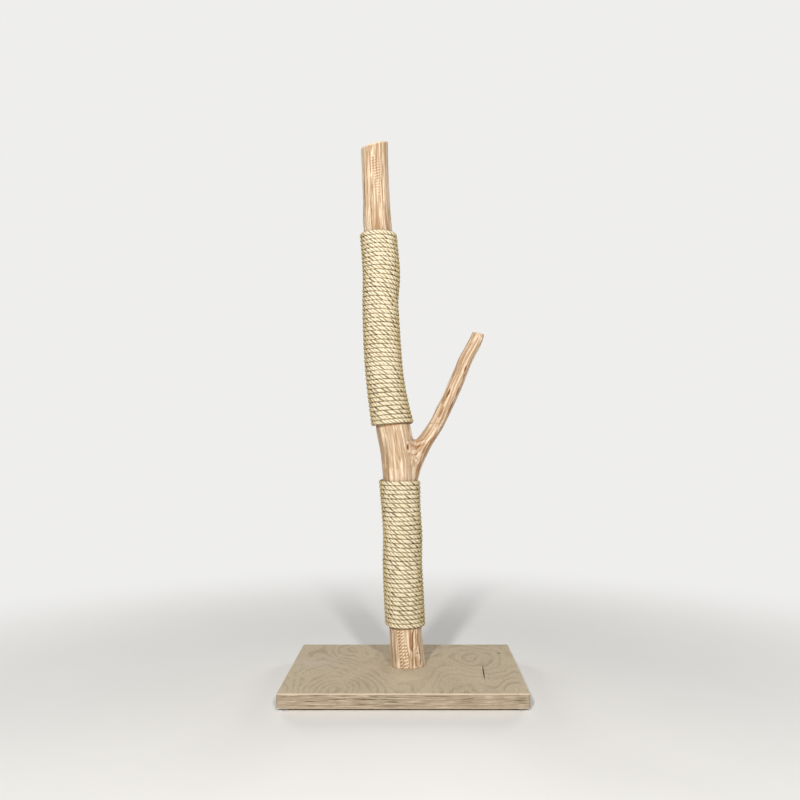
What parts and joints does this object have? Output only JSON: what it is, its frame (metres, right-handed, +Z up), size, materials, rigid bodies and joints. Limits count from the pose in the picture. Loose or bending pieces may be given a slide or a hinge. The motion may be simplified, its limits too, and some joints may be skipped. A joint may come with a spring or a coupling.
{
  "type": "cat scratching post",
  "caption": "Free-standing natural cat scratching post: a peeled forked trunk on a plywood board, wound with sisal rope below and above the fork.",
  "frame": {"origin": "on the floor under the middle of the base board", "axes": "+Z up the post, +X to the side of the branch, -Y to the front as pictured"},
  "size_m": [0.5, 0.4, 1.1986],
  "materials": {
    "birch_plywood": "sanded, bare",
    "peeled_wood": "peeled and brushed, bare",
    "sisal": "three-strand twisted sisal, matt",
    "zinc_steel": "zinc plated",
    "glide_plastic": "grey plastic"
  },
  "bodies": {
    "root": {"base_board": "birch_plywood", "trunk": "peeled_wood", "rope_upper": "sisal", "rope_lower": "sisal", "coach_screw": "zinc_steel", "coach_washer": "zinc_steel", "trunk_screws": "zinc_steel", "glide_front_left": "glide_plastic", "glide_front_right": "glide_plastic", "glide_back_left": "glide_plastic", "glide_back_right": "glide_plastic", "glide_pins": "zinc_steel", "rope_staples": "zinc_steel"}
  },
  "joints": []
}
